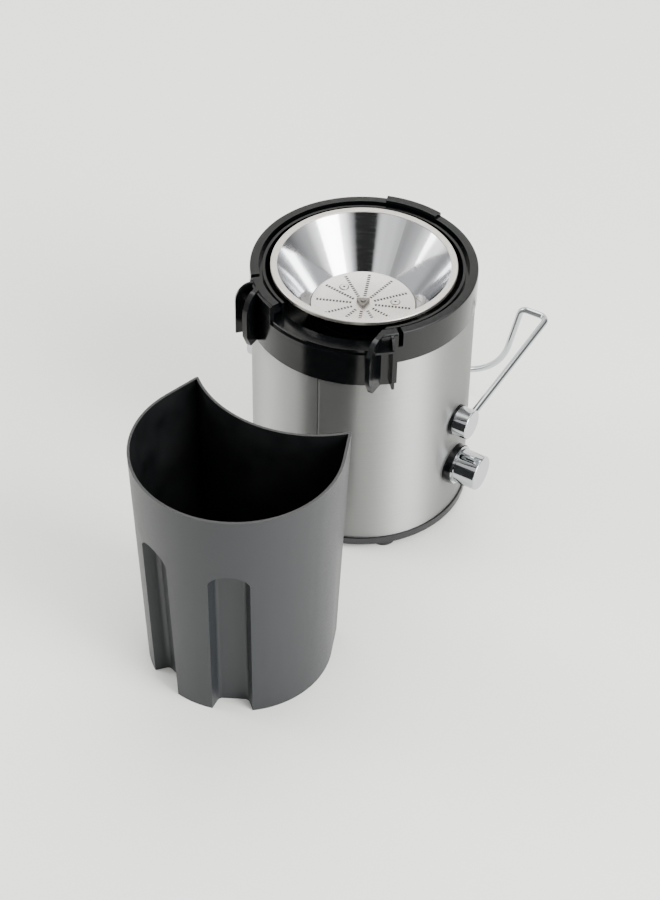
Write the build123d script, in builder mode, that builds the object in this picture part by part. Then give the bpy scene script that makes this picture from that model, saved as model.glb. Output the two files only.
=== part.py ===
from build123d import *
import math
import os

# Centrifugal juicer: a motor housing with a lift-off juice collector, a spinning grater
# filter, a wire locking bail and a free-standing pulp bin. Millimetres, +Z up.
# Origin: the point where the body's axis meets the table. -Y is the control side,
# -X the pulp side and +X the juice spout side.

# ---- overall sizes ----
body_r = 95.0
sleeve_top = 209.0
collar_h = 30.0
foot_h = 4.0
base_rim_h = 8.3

# ---- walls and clearances ----
sleeve_t = 0.8
wall = 2.4
run_gap = 0.3
slip_fit = 0.05
part_line = 0.3
snap_gap = 0.2

# ---- derived levels and radii of the housing ----
sleeve_in_r = body_r - sleeve_t
base_rim_top = foot_h + base_rim_h
base_floor_top = foot_h + 2.5
deck_lip = 1.0
deck_top = sleeve_top + deck_lip
deck_wall_r = sleeve_in_r - snap_gap
deck_wall_in_r = deck_wall_r - 3.1
deck_floor_top = sleeve_top - 43.0
deck_floor_t = 3.0
deck_floor_bot = deck_floor_top - deck_floor_t

# ---- juice collector ----
rim_top = deck_top + collar_h
rim_w = 7.5
collar_r = body_r + 1.0
groove_w = 3.1
groove_depth = 7.0
rim_in_r = collar_r - rim_w
bowl_wall_out_r = rim_in_r - groove_w
bowl_r = bowl_wall_out_r - wall
bowl_floor_bot = deck_floor_top + 18.0
bowl_floor_top = bowl_floor_bot + wall
bowl_wall_drop = 2.0
chimney_in_r = 30.0
chimney_h = 4.0
apron_gap = 0.5
apron_t = 2.2
apron_drop = 50.5
shelf_drop = 15.0
shoulder_drop = 18.5
raised_rim_h = 2.0
raised_rim_half = 15.4
raised_rim_mid = 2.4
guide_outer_az = 136.5
guide_inner_y = 58.5
guide_inner_reach = 95.5
guide_reach = 14.0
guide_front_reach = 7.5
fin_crown_h = 18.0
guide_roof_az = 144.8
guide_t = 2.2
guide_inner_t = 4.4
skirt_end_az = 133.5
tab_slot_az = 131.8
tab_slot_span = 2.4
mouth_rear_az = 158.0
mouth_front_az = 223.5
front_wall_az = 217.0
spout_w = 30.0
spout_out = 21.0
spout_h = 24.3
spout_nozzle = 8.0
outlet_half = 7.0

# ---- filter and drive ----
filter_gap = 4.3
filter_rim_r = bowl_r - filter_gap
filter_rim_w = 5.7
filter_rim_z = rim_top + 0.6
disc_r = 44.3
disc_t = 0.8
filter_depth = 43.4
disc_top = filter_rim_z - filter_depth
disc_bot = disc_top - disc_t
hub_t = 4.0
hub_skirt_h = 4.0
socket_boss_r = 12.5
coupling_af = 13.0
coupling_h = 17.5
coupling_top = disc_bot - hub_t - 2.9
grater_rows = 12
grater_row_az = 22.0
teeth_per_row = 11
rivet_pitch_r = 27.6
rivet_az = 66.0
shaft_r = 4.0

# ---- motor, hung under the deck ----
stator_r = 38.0
stator_bore_r = 23.0
stator_h = 40.0
air_gap = 0.5
motor_top_z = deck_floor_bot - 27.0
stator_top = motor_top_z - 18.0
stator_bot = stator_top - stator_h
motor_low_z = stator_bot - 28.0
bracket_t = 3.0
bearing_r = 11.0
bearing_h = 7.0
commutator_r = 12.0
fan_r = 30.0
fan_h = 12.0
mount_pitch_r = 31.0
column_pitch_r = body_r - 11.0
column_r = 4.5
column_az = 22.0
screw_r = 1.6
boss_r = 5.0

# ---- controls and bail ----
pivot_z = 110.0
pivot_pin_r = 4.0
cap_r = 13.2
cap_len = 12.9
wire_d = 6.0
bail_tilt = 3.0
bail_arm = rim_top + 26.0 - pivot_z
bail_y = body_r + 9.0
bail_loop_r = bail_y - 36.0
bail_loop_depth = 35.7
bail_leg_lean = 12.5
bail_bend_r = 8.0
knob_z = 59.7
knob_r = 15.6
knob_flange_r = 17.2
knob_face = body_r + 27.5
bezel_stand = 5.0
control_plate_y = body_r - 19.0
gland_z = 36.0
cable_hole_r = 3.6

# ---- pulp bin ----
bin_h = 220.0
bin_wall = 2.2
bin_nest_gap = 4.3
bin_nest_r = body_r + bin_nest_gap
bin_back_r = 85.2
bin_back_offset = 31.0
bin_draft = 2.13
bin_flank_az = 71.0
bin_flank_reach = 45.0
bin_park_x = -100.4
bin_park_y = -13.4
bin_park_turn = 2.8
grip_az = 24.5
grip_half_w = 17.5
grip_floor_half = 12.0
grip_depth = 13.5
grip_top = 160.0
grip_arch = 15.0
grip_corner_r = 4.5


def radial_plane(azimuth):
    """A plane through the body's axis: local x points outwards at this azimuth, local y up."""
    turn = math.radians(azimuth)
    return Plane(
        origin=(0, 0, 0),
        x_dir=(math.cos(turn), math.sin(turn), 0),
        z_dir=(math.sin(turn), -math.cos(turn), 0),
    )


def ring_sector(r_in, r_out, z_low, z_high, start=0.0, span=360.0):
    """A rectangular ring or part of one, from azimuth start counter-clockwise through span."""
    with BuildPart() as sector:
        with BuildSketch(radial_plane(start)):
            with Locations(((r_in + r_out) / 2, (z_low + z_high) / 2)):
                Rectangle(r_out - r_in, z_high - z_low)
        revolve(axis=Axis.Z, revolution_arc=span)
    return sector.part


def turned(points, start=0.0, span=360.0):
    """A body turned about the main axis from a closed outline of (radius, height) points."""
    with BuildPart() as body:
        with BuildSketch(radial_plane(start)):
            with BuildLine():
                Polyline(*points, close=True)
            make_face()
        revolve(axis=Axis.Z, revolution_arc=span)
    return body.part


def lathe_y(radius, y_from, y_to, x=0.0, z=0.0):
    """A cylinder along Y between two y values."""
    with BuildPart() as rod:
        with BuildSketch(Plane.XZ.offset(-y_from)):
            with Locations((x, z)):
                Circle(radius)
        extrude(amount=y_from - y_to)
    return rod.part


def finish(builder, label):
    """Names a finished piece and writes it to its own file."""
    builder.part.label = label
    export_step(builder.part, f"parts/{label}.step")


os.makedirs("parts", exist_ok=True)


# ==== housing ====
column_places = [column_az, 180 - column_az, 180 + column_az, 360 - column_az]
corner_places = [45, 135, 225, 315]


def polar_points(radius, azimuths):
    """Points at one radius and a list of azimuths."""
    return [
        (radius * math.cos(math.radians(a)), radius * math.sin(math.radians(a))) for a in azimuths
    ]


column_points = polar_points(column_pitch_r, column_places)
foot_r = 10.5
foot_plug_r = 4.0
foot_pitch_r = body_r - 10.0
foot_points = polar_points(foot_pitch_r, corner_places)
mount_points = polar_points(mount_pitch_r, corner_places)

# rubber feet, each with a plug pressed into the base
with BuildPart() as feet:
    with BuildSketch(Plane.XY):
        with Locations(*foot_points):
            Circle(foot_r)
    extrude(amount=foot_h)
    chamfer(feet.edges().group_by(Axis.Z)[0], 0.8)
    with BuildSketch(Plane.XY.offset(foot_h)):
        with Locations(*foot_points):
            Circle(foot_plug_r)
    extrude(amount=base_floor_top - foot_h)
finish(feet, "feet")

# moulded base: visible rim, spigot inside the sleeve, floor with air slots and screw posts
base_rim_r = body_r + 1.8
spigot_top = base_rim_top + 14.0
post_top = base_floor_top + 18.0
pcb_y = body_r - 19.0
pcb_t = 1.6
pcb_w = 50.0
pcb_low = base_floor_top + 38.0
pcb_h = 40.0
with BuildPart() as base_plate:
    with BuildSketch(Plane.XZ):
        with BuildLine():
            Polyline(
                (0, foot_h),
                (base_rim_r - 1.5, foot_h),
                (base_rim_r, foot_h + 1.5),
                (base_rim_r, base_rim_top),
                (deck_wall_r, base_rim_top),
                (deck_wall_r, spigot_top),
                (deck_wall_r - wall, spigot_top),
                (deck_wall_r - wall, base_floor_top),
                (0, base_floor_top),
                close=True,
            )
        make_face()
    revolve(axis=Axis.Z)
    with BuildSketch(Plane.XY.offset(foot_h)):
        with PolarLocations(fan_r + 8.0, 16):
            SlotOverall(20.0, 4.0)
    extrude(amount=base_floor_top - foot_h, mode=Mode.SUBTRACT)
    with BuildSketch(Plane.XY.offset(base_floor_top)):
        with Locations(*column_points):
            Circle(boss_r)
    extrude(amount=post_top - base_floor_top)
    with BuildSketch(Plane.XY.offset(foot_h)):
        with Locations(*column_points):
            Circle(screw_r + run_gap)
        with Locations(*foot_points):
            Circle(foot_plug_r)
    extrude(amount=post_top - foot_h, mode=Mode.SUBTRACT)
    with BuildSketch(Plane.XY.offset(foot_h)):
        with Locations(*column_points):
            Circle(screw_r * 2 + run_gap)
    extrude(amount=6.0, mode=Mode.SUBTRACT)
    with BuildSketch(Plane.XY.offset(base_floor_top)):
        with Locations((-pcb_w / 2 - 1.0, pcb_y), (pcb_w / 2 + 1.0, pcb_y)):
            Rectangle(6.0, 7.0)
    extrude(amount=pcb_low + pcb_h - base_floor_top)
    with BuildSketch(Plane.XY.offset(pcb_low)):
        with Locations((0, pcb_y)):
            Rectangle(pcb_w + snap_gap, pcb_t + snap_gap)
    extrude(amount=pcb_h, mode=Mode.SUBTRACT)
finish(base_plate, "base_plate")

with BuildPart() as base_screws:
    with BuildSketch(Plane.XY.offset(foot_h + 6.0 - 2.4)):
        with Locations(*column_points):
            Circle(screw_r * 2)
    extrude(amount=2.4)
    with BuildSketch(Plane.XY.offset(foot_h + 6.0)):
        with Locations(*column_points):
            Circle(screw_r)
    extrude(amount=post_top + 12.0 - foot_h - 6.0)
finish(base_screws, "base_screws")

# brushed steel sleeve, open at the top where the spout passes
bush_hole_r = 7.0
switch_bush_r = 4.5
spout_notch_w = spout_w + 3.0
with BuildPart() as body_shell:
    with BuildSketch(Plane.XY.offset(base_rim_top)):
        Circle(body_r)
        Circle(sleeve_in_r, mode=Mode.SUBTRACT)
    extrude(amount=sleeve_top - base_rim_top)
    add(lathe_y(bush_hole_r, -body_r - 5, body_r + 5, 0, pivot_z), mode=Mode.SUBTRACT)
    add(lathe_y(switch_bush_r + snap_gap, -body_r - 5, 0, 0, knob_z), mode=Mode.SUBTRACT)
    add(lathe_y(bush_hole_r, 0, body_r + 5, 0, gland_z), mode=Mode.SUBTRACT)
    with BuildSketch(Plane.YZ):
        with Locations((0, (bowl_floor_bot - run_gap + sleeve_top + 1) / 2)):
            Rectangle(spout_notch_w, sleeve_top + 1 - bowl_floor_bot + run_gap)
    extrude(amount=body_r + 5, mode=Mode.SUBTRACT)
finish(body_shell, "body_shell")

# moulded deck: closes the sleeve, carries the motor and seats the juice collector
tower_in_r = socket_boss_r + 11.5
tower_out_r = chimney_in_r - 3.5
tower_top = bowl_floor_top + 2.0
seal_r = 9.0
seat_ring_r = 70.0
motor_post_bot = motor_top_z + bracket_t + 5.0
with BuildPart() as motor_deck:
    with BuildSketch(Plane.XZ):
        with BuildLine():
            Polyline(
                (seal_r, deck_floor_bot),
                (deck_wall_r, deck_floor_bot),
                (deck_wall_r, sleeve_top),
                (body_r, sleeve_top),
                (body_r, deck_top),
                (deck_wall_in_r, deck_top),
                (deck_wall_in_r, deck_floor_top),
                (seat_ring_r + wall, deck_floor_top),
                (seat_ring_r + wall, bowl_floor_bot),
                (seat_ring_r, bowl_floor_bot),
                (seat_ring_r, deck_floor_top),
                (tower_out_r, deck_floor_top),
                (tower_out_r, tower_top),
                (tower_in_r, tower_top),
                (tower_in_r, deck_floor_top),
                (seal_r + wall, deck_floor_top),
                (seal_r + wall, deck_floor_top + 2.5),
                (seal_r, deck_floor_top + 2.5),
                close=True,
            )
        make_face()
    revolve(axis=Axis.Z)
    with BuildSketch(Plane.XY.offset(post_top)):
        with Locations(*column_points):
            Circle(column_r)
    extrude(amount=deck_floor_bot - post_top)
    with BuildSketch(Plane.XY.offset(post_top)):
        with Locations(*column_points):
            Circle(screw_r)
    extrude(amount=12.0, mode=Mode.SUBTRACT)
    with BuildSketch(Plane.XY.offset(motor_post_bot)):
        with Locations(*mount_points):
            Circle(boss_r)
    extrude(amount=deck_floor_bot - motor_post_bot)
    with BuildSketch(Plane.XY.offset(motor_post_bot)):
        with Locations(*mount_points):
            Circle(screw_r)
    extrude(amount=10.0, mode=Mode.SUBTRACT)
    with BuildSketch(Plane.YZ.offset(seat_ring_r + wall + 2)):
        with Locations((0, (bowl_floor_bot - run_gap + deck_top + 1) / 2)):
            Rectangle(spout_notch_w, deck_top + 1 - bowl_floor_bot + run_gap)
    extrude(amount=body_r - seat_ring_r, mode=Mode.SUBTRACT)
    with BuildSketch(Plane.YZ.offset(seat_ring_r - 2)):
        with Locations((0, bowl_floor_bot)):
            Rectangle(spout_notch_w, 8.0)
    extrude(amount=wall + 4, mode=Mode.SUBTRACT)
finish(motor_deck, "motor_deck")

with BuildPart() as shaft_seal:
    with BuildSketch(Plane.XY.offset(deck_floor_bot)):
        Circle(seal_r)
        Circle(shaft_r + slip_fit, mode=Mode.SUBTRACT)
    extrude(amount=deck_floor_t + 2.5)
finish(shaft_seal, "shaft_seal")


# ==== motor, stationary pieces ====
stator_screw_y = stator_r - 3.8
stator_screw_r = 1.5
pole_half = 50.0
slot_half = 7.0
coil_r_in = stator_bore_r + 1.5
coil_r_out = stator_r - 8.5
coil_over = 8.0

with BuildPart() as stator_core:
    with BuildSketch(Plane.XY.offset(stator_bot)):
        Circle(stator_r)
        Circle(stator_bore_r, mode=Mode.SUBTRACT)
        with Locations((0, stator_screw_y), (0, -stator_screw_y)):
            Circle(stator_screw_r, mode=Mode.SUBTRACT)
    extrude(amount=stator_h)
    for pole in (90, 270):
        for side in (-1, 1):
            middle = pole + side * pole_half
            slot = ring_sector(
                coil_r_in - run_gap,
                coil_r_out + run_gap,
                stator_bot - 1,
                stator_top + 1,
                middle - slot_half - 0.8,
                slot_half * 2 + 1.6,
            )
            add(slot, mode=Mode.SUBTRACT)
finish(stator_core, "stator_core")

with BuildPart() as field_coils:
    for pole in (90, 270):
        for side in (-1, 1):
            middle = pole + side * pole_half
            add(
                ring_sector(
                    coil_r_in,
                    coil_r_out,
                    stator_bot - coil_over,
                    stator_top + coil_over,
                    middle - slot_half,
                    slot_half * 2,
                )
            )
        for level in (stator_bot - coil_over, stator_top + run_gap):
            add(
                ring_sector(
                    coil_r_in,
                    coil_r_out,
                    level,
                    level + coil_over - run_gap,
                    pole - pole_half - slot_half,
                    (pole_half + slot_half) * 2,
                )
            )
finish(field_coils, "field_coils")


def end_bracket(plate_z, boss_z, spacer_z, spacer_h, ears):
    """A motor end bracket: disc, bearing boss and two spacers that reach the stator."""
    with BuildPart() as bracket:
        with BuildSketch(Plane.XY.offset(plate_z)):
            Circle(stator_r)
        extrude(amount=bracket_t)
        with BuildSketch(Plane.XY.offset(boss_z)):
            Circle(bearing_r + wall)
        extrude(amount=bearing_h)
        with BuildSketch(Plane.XY.offset(spacer_z)):
            with Locations((0, stator_screw_y), (0, -stator_screw_y)):
                Circle(stator_screw_r + 1.8)
        extrude(amount=spacer_h)
        with BuildSketch(Plane.XY.offset(min(plate_z, boss_z, spacer_z))):
            Circle(bearing_r)
            with Locations((0, stator_screw_y), (0, -stator_screw_y)):
                Circle(stator_screw_r)
            if ears:
                with Locations(*mount_points):
                    Circle(screw_r + run_gap)
        extrude(amount=60.0, mode=Mode.SUBTRACT)
    return bracket


upper_boss_z = motor_top_z + bracket_t
lower_boss_z = motor_low_z - bearing_h
motor_upper_bracket = end_bracket(
    motor_top_z, upper_boss_z, stator_top, motor_top_z - stator_top, True
)
finish(motor_upper_bracket, "motor_upper_bracket")
lower_plate_top = motor_low_z + bracket_t
motor_lower_bracket = end_bracket(
    motor_low_z, lower_boss_z, lower_plate_top, stator_bot - lower_plate_top, False
)
finish(motor_lower_bracket, "motor_lower_bracket")

for bearing_name, bearing_z in (("bearing_upper", upper_boss_z), ("bearing_lower", lower_boss_z)):
    with BuildPart() as bearing:
        with BuildSketch(Plane.XZ):
            with BuildLine():
                Polyline(
                    (shaft_r + slip_fit, bearing_z),
                    (bearing_r, bearing_z),
                    (bearing_r, bearing_z + bearing_h),
                    (bearing_r - 1.8, bearing_z + bearing_h),
                    (bearing_r - 1.8, bearing_z + bearing_h - 0.6),
                    (shaft_r + 2.0, bearing_z + bearing_h - 0.6),
                    (shaft_r + 2.0, bearing_z + bearing_h),
                    (shaft_r + slip_fit, bearing_z + bearing_h),
                    close=True,
                )
            make_face()
        revolve(axis=Axis.Z)
    finish(bearing, bearing_name)

with BuildPart() as stator_screws:
    with BuildSketch(Plane.XY.offset(motor_low_z - 2.2)):
        with Locations((0, stator_screw_y), (0, -stator_screw_y)):
            Circle(stator_screw_r * 2)
    extrude(amount=2.2)
    with BuildSketch(Plane.XY.offset(motor_low_z)):
        with Locations((0, stator_screw_y), (0, -stator_screw_y)):
            Circle(stator_screw_r)
    extrude(amount=motor_top_z + bracket_t - motor_low_z)
finish(stator_screws, "stator_screws")

grommet_r = 6.5
with BuildPart() as mount_grommets:
    with BuildSketch(Plane.XY.offset(motor_top_z + bracket_t)):
        with Locations(*mount_points):
            Circle(grommet_r)
        with Locations(*mount_points):
            Circle(screw_r + run_gap, mode=Mode.SUBTRACT)
    extrude(amount=motor_post_bot - motor_top_z - bracket_t)
finish(mount_grommets, "mount_grommets")

with BuildPart() as mount_screws:
    with BuildSketch(Plane.XY.offset(motor_top_z - 2.2)):
        with Locations(*mount_points):
            Circle(screw_r * 2)
    extrude(amount=2.2)
    with BuildSketch(Plane.XY.offset(motor_top_z)):
        with Locations(*mount_points):
            Circle(screw_r)
    extrude(amount=motor_post_bot + 10.0 - motor_top_z)
finish(mount_screws, "mount_screws")

# brush gear stands on the lower bracket
brush_z = lower_plate_top + 9.0
brush_w = 6.0
brush_len = 11.0
holder_end = stator_r - 8.0
commutator_gap = 0.1
with BuildPart() as brush_holders:
    with BuildSketch(Plane.XY.offset(lower_plate_top)):
        for side in (-1, 1):
            with Locations((side * (holder_end + commutator_r + 2) / 2, 0)):
                Rectangle(holder_end - commutator_r - 2, brush_w + 6.0)
    extrude(amount=brush_z + brush_w / 2 + 3.0 - lower_plate_top)
    with BuildSketch(Plane.YZ.offset(-holder_end)):
        with Locations((0, brush_z)):
            Rectangle(brush_w, brush_w)
    extrude(amount=holder_end * 2, mode=Mode.SUBTRACT)
finish(brush_holders, "brush_holders")

with BuildPart() as carbon_brushes:
    for side in (-1, 1):
        with BuildSketch(Plane.YZ.offset(side * (commutator_r + commutator_gap))):
            with Locations((0, brush_z)):
                Rectangle(brush_w, brush_w)
        extrude(amount=side * brush_len)
finish(carbon_brushes, "carbon_brushes")


# ==== motor, turning pieces ====
shaft_low = lower_boss_z - fan_h - 6.0
shaft_top = coupling_top - 3.0
with BuildPart() as motor_shaft:
    with BuildSketch(Plane.XY.offset(shaft_low)):
        Circle(shaft_r)
    extrude(amount=shaft_top - shaft_low)
    chamfer(motor_shaft.edges().group_by(Axis.Z)[0], 0.5)
finish(motor_shaft, "motor_shaft")

armature_r = stator_bore_r - air_gap
with BuildPart() as armature_core:
    with BuildSketch(Plane.XY.offset(stator_bot)):
        Circle(armature_r)
        with PolarLocations(armature_r - 2.5, 12):
            SlotOverall(7.0, 2.0, mode=Mode.SUBTRACT)
        Circle(shaft_r, mode=Mode.SUBTRACT)
    extrude(amount=stator_h)
finish(armature_core, "armature_core")

with BuildPart() as armature_windings:
    for level in (stator_bot - 7.0, stator_top):
        with BuildSketch(Plane.XY.offset(level)):
            Circle(armature_r - 2.5)
            Circle(shaft_r, mode=Mode.SUBTRACT)
        extrude(amount=7.0)
finish(armature_windings, "armature_windings")

commutator_bot = brush_z - 6.0
with BuildPart() as commutator:
    with BuildSketch(Plane.XY.offset(commutator_bot)):
        Circle(commutator_r)
        Circle(shaft_r, mode=Mode.SUBTRACT)
    extrude(amount=12.0)
    with BuildSketch(Plane.XY.offset(commutator_bot)):
        with PolarLocations(commutator_r, 24):
            Rectangle(1.6, 0.5)
    extrude(amount=12.0, mode=Mode.SUBTRACT)
finish(commutator, "commutator")

fan_bot = lower_boss_z - fan_h - 3.0
with BuildPart() as cooling_fan:
    with BuildSketch(Plane.XY.offset(fan_bot)):
        Circle(fan_r)
    extrude(amount=1.6)
    with BuildSketch(Plane.XY.offset(fan_bot)):
        Circle(shaft_r + 4.0)
        with PolarLocations((fan_r + shaft_r + 3.5) / 2, 10):
            Rectangle(fan_r - shaft_r - 3.5, 1.4)
    extrude(amount=fan_h)
    with BuildSketch(Plane.XY.offset(fan_bot)):
        Circle(shaft_r)
    extrude(amount=fan_h, mode=Mode.SUBTRACT)
finish(cooling_fan, "cooling_fan")

with BuildPart() as drive_coupling:
    with BuildSketch(Plane.XY.offset(coupling_top - coupling_h)):
        RegularPolygon(coupling_af / 2, 6, major_radius=False)
    extrude(amount=coupling_h)
    chamfer(drive_coupling.edges().group_by(Axis.Z)[-1], 1.0)
    with BuildSketch(Plane.XY.offset(coupling_top - coupling_h)):
        Circle(shaft_r)
    extrude(amount=shaft_top - coupling_top + coupling_h, mode=Mode.SUBTRACT)
finish(drive_coupling, "drive_coupling")


# ==== controls ====
plate_t = 1.2
plate_w = 34.0
plate_low = knob_z - 16.0
flange_w = 14.0
plate_screw_x = 10.0
with BuildPart() as control_bracket:
    with BuildSketch(Plane.XZ.offset(control_plate_y - plate_t)):
        with Locations((0, (plate_low + deck_floor_bot) / 2)):
            Rectangle(plate_w, deck_floor_bot - plate_low)
    extrude(amount=plate_t)
    with BuildSketch(Plane.XY.offset(deck_floor_bot - plate_t)):
        with Locations((0, -control_plate_y + flange_w / 2)):
            Rectangle(plate_w, flange_w)
        with Locations(
            (-plate_screw_x, -control_plate_y + flange_w / 2),
            (plate_screw_x, -control_plate_y + flange_w / 2),
        ):
            Circle(screw_r, mode=Mode.SUBTRACT)
    extrude(amount=plate_t)
finish(control_bracket, "control_bracket")

with BuildPart() as bracket_screws:
    plate_screws = [
        (-plate_screw_x, -control_plate_y + flange_w / 2),
        (plate_screw_x, -control_plate_y + flange_w / 2),
    ]
    with BuildSketch(Plane.XY.offset(deck_floor_bot - plate_t - 2.2)):
        with Locations(*plate_screws):
            Circle(screw_r * 2)
    extrude(amount=2.2)
    with BuildSketch(Plane.XY.offset(deck_floor_bot - plate_t)):
        with Locations(*plate_screws):
            Circle(screw_r)
    extrude(amount=plate_t)
finish(bracket_screws, "bracket_screws")

# rotary speed switch: body on the bracket, bush through the sleeve, nut under the knob
spindle_r = 3.0
switch_front = sleeve_in_r - 5.0
bush_end = body_r + 4.6
with BuildPart() as speed_switch:
    with BuildSketch(Plane.XZ.offset(control_plate_y)):
        with Locations((0, knob_z)):
            RectangleRounded(26.0, 26.0, 2.0)
    extrude(amount=switch_front - control_plate_y)
    add(lathe_y(switch_bush_r, -switch_front, -bush_end, 0, knob_z))
    add(
        lathe_y(spindle_r + slip_fit, -switch_front + 6.0, -bush_end - 1, 0, knob_z),
        mode=Mode.SUBTRACT,
    )
finish(speed_switch, "speed_switch")

nut_af = 14.0
nut_back = body_r + 0.05
with BuildPart() as switch_nut:
    with BuildSketch(Plane.XZ.offset(nut_back)):
        with Locations((0, knob_z)):
            RegularPolygon(nut_af / 2, 6, major_radius=False)
            Circle(switch_bush_r, mode=Mode.SUBTRACT)
    extrude(amount=2.6)
finish(switch_nut, "switch_nut")

def saddle(radius, hole_r, stand, height, side):
    """A round flange on the sleeve at -Y or +Y: flat in front, its back curved to the sleeve."""
    with BuildPart() as flange:
        add(lathe_y(radius, side * (body_r - 6), side * (body_r + stand), 0, height))
        with BuildSketch(Plane.XY.offset(height - 30)):
            Circle(body_r)
        extrude(amount=60, mode=Mode.SUBTRACT)
        add(
            lathe_y(hole_r, side * (body_r - 7), side * (body_r + stand + 1), 0, height),
            mode=Mode.SUBTRACT,
        )
    return flange.part


bezel_r = knob_flange_r + 1.0
bezel_face = body_r + bezel_stand
with BuildPart() as knob_bezel:
    add(saddle(bezel_r, nut_af / 2 + 2.5, bezel_stand, knob_z, -1))
finish(knob_bezel, "knob_bezel")

knob_back = bezel_face + part_line
knob_flange_t = 1.8
with BuildPart() as speed_knob:
    with BuildSketch(Plane.XZ.offset(knob_back)):
        with Locations((0, knob_z)):
            Circle(knob_flange_r)
    extrude(amount=knob_flange_t)
    with BuildSketch(Plane.XZ.offset(knob_back + knob_flange_t)):
        with Locations((0, knob_z)):
            Circle(knob_r)
    extrude(amount=knob_face - knob_back - knob_flange_t)
    fillet(speed_knob.edges().group_by(Axis.Y)[0], 1.0)
    with BuildSketch(Plane.XZ.offset(knob_face - 7.0)):
        with Locations((0, knob_z + knob_r)):
            Rectangle(1.6, 2.4)
    extrude(amount=8.0, mode=Mode.SUBTRACT)
    add(
        lathe_y(spindle_r, -knob_back + 1, -knob_back - 14.0, 0, knob_z),
        mode=Mode.SUBTRACT,
    )
finish(speed_knob, "speed_knob")

with BuildPart() as switch_spindle:
    add(lathe_y(spindle_r, -switch_front + 5.0, -knob_back - 14.0, 0, knob_z))
finish(switch_spindle, "switch_spindle")

# suppressor board held in the base's uprights
with BuildPart() as circuit_board:
    with BuildSketch(Plane.XZ.offset(-pcb_y - pcb_t / 2)):
        with Locations((0, pcb_low + pcb_h / 2)):
            Rectangle(pcb_w, pcb_h)
    extrude(amount=pcb_t)
finish(circuit_board, "circuit_board")

with BuildPart() as suppressor_capacitor:
    with BuildSketch(Plane.XZ.offset(-pcb_y + pcb_t / 2)):
        with Locations((-6, pcb_low + 14)):
            RectangleRounded(18.0, 15.0, 1.5)
    extrude(amount=9.0)
finish(suppressor_capacitor, "suppressor_capacitor")

# cable inlet: a flanged gland pressed into the rear of the sleeve
gland_in = sleeve_in_r - 9.0
gland_stand = 3.0
gland_out = body_r + gland_stand
with BuildPart() as cable_gland:
    add(saddle(bush_hole_r + 3.5, bush_hole_r, gland_stand, gland_z, 1))
    add(lathe_y(bush_hole_r, gland_in, gland_out, 0, gland_z))
    add(lathe_y(cable_hole_r, gland_in - 1, gland_out + 1, 0, gland_z), mode=Mode.SUBTRACT)
finish(cable_gland, "cable_gland")


# ==== locking bail ====
pivot_stand = 1.9
bush_in = sleeve_in_r - 6.0
cap_back = body_r + pivot_stand + part_line
cap_face = cap_back + cap_len
wire_r = wire_d / 2
wire_start = 3.0

with BuildPart() as pivot_bushes:
    for side in (-1, 1):
        add(saddle(cap_r + 0.8, bush_hole_r, pivot_stand, pivot_z, side))
        add(lathe_y(bush_hole_r, side * bush_in, side * (body_r + pivot_stand), 0, pivot_z))
    add(
        lathe_y(pivot_pin_r + slip_fit, -cap_face, cap_face, 0, pivot_z),
        mode=Mode.SUBTRACT,
    )
finish(pivot_bushes, "pivot_bushes")

bail_tilt_rad = math.radians(bail_tilt)
leg_lean_rad = math.radians(bail_leg_lean)
leg_end_y = bail_loop_r * math.cos(leg_lean_rad)
leg_end_down = bail_loop_depth + bail_loop_r * math.sin(leg_lean_rad)
leg_top_y = leg_end_y + leg_end_down * math.tan(leg_lean_rad)


def bail_point(along, across, down):
    """A point on the bail: along its arms from the pivot, across it, and down its end loop."""
    return (
        along * math.cos(bail_tilt_rad) + down * math.sin(bail_tilt_rad),
        across,
        pivot_z + along * math.sin(bail_tilt_rad) - down * math.cos(bail_tilt_rad),
    )


with BuildPart() as bail_wire:
    leg_turn = math.pi / 2 - leg_lean_rad
    bend_cut = bail_bend_r * math.tan(leg_turn / 2)
    elbow = bail_bend_r * (1 - math.sqrt(0.5))
    bend_y = -leg_top_y - bend_cut
    with BuildLine() as bail_path:
        arm = Line(
            bail_point(wire_start, -bail_y, 0),
            bail_point(bail_arm - bail_bend_r, -bail_y, 0),
        )
        corner = ThreePointArc(
            arm @ 1,
            bail_point(bail_arm - elbow, -bail_y + elbow, 0),
            bail_point(bail_arm, -bail_y + bail_bend_r, 0),
        )
        cross_bar = Line(corner @ 1, bail_point(bail_arm, bend_y, 0))
        leg_bend = ThreePointArc(
            cross_bar @ 1,
            bail_point(
                bail_arm,
                bend_y + bail_bend_r * math.sin(leg_turn / 2),
                bail_bend_r * (1 - math.cos(leg_turn / 2)),
            ),
            bail_point(
                bail_arm,
                bend_y + bail_bend_r * math.sin(leg_turn),
                bail_bend_r * (1 - math.cos(leg_turn)),
            ),
        )
        leg = Line(leg_bend @ 1, bail_point(bail_arm, -leg_end_y, leg_end_down))
        half_way = (leg_lean_rad + math.pi / 2) / 2
        loop = ThreePointArc(
            leg @ 1,
            bail_point(
                bail_arm,
                -bail_loop_r * math.cos(half_way),
                bail_loop_depth + bail_loop_r * math.sin(half_way),
            ),
            bail_point(bail_arm, 0, bail_loop_depth + bail_loop_r),
        )
    with BuildSketch(Plane(origin=arm @ 0, z_dir=arm % 0)):
        Circle(wire_r)
    sweep(path=bail_path.wire())
    mirror(about=Plane.XZ)
finish(bail_wire, "bail_wire")

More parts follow.
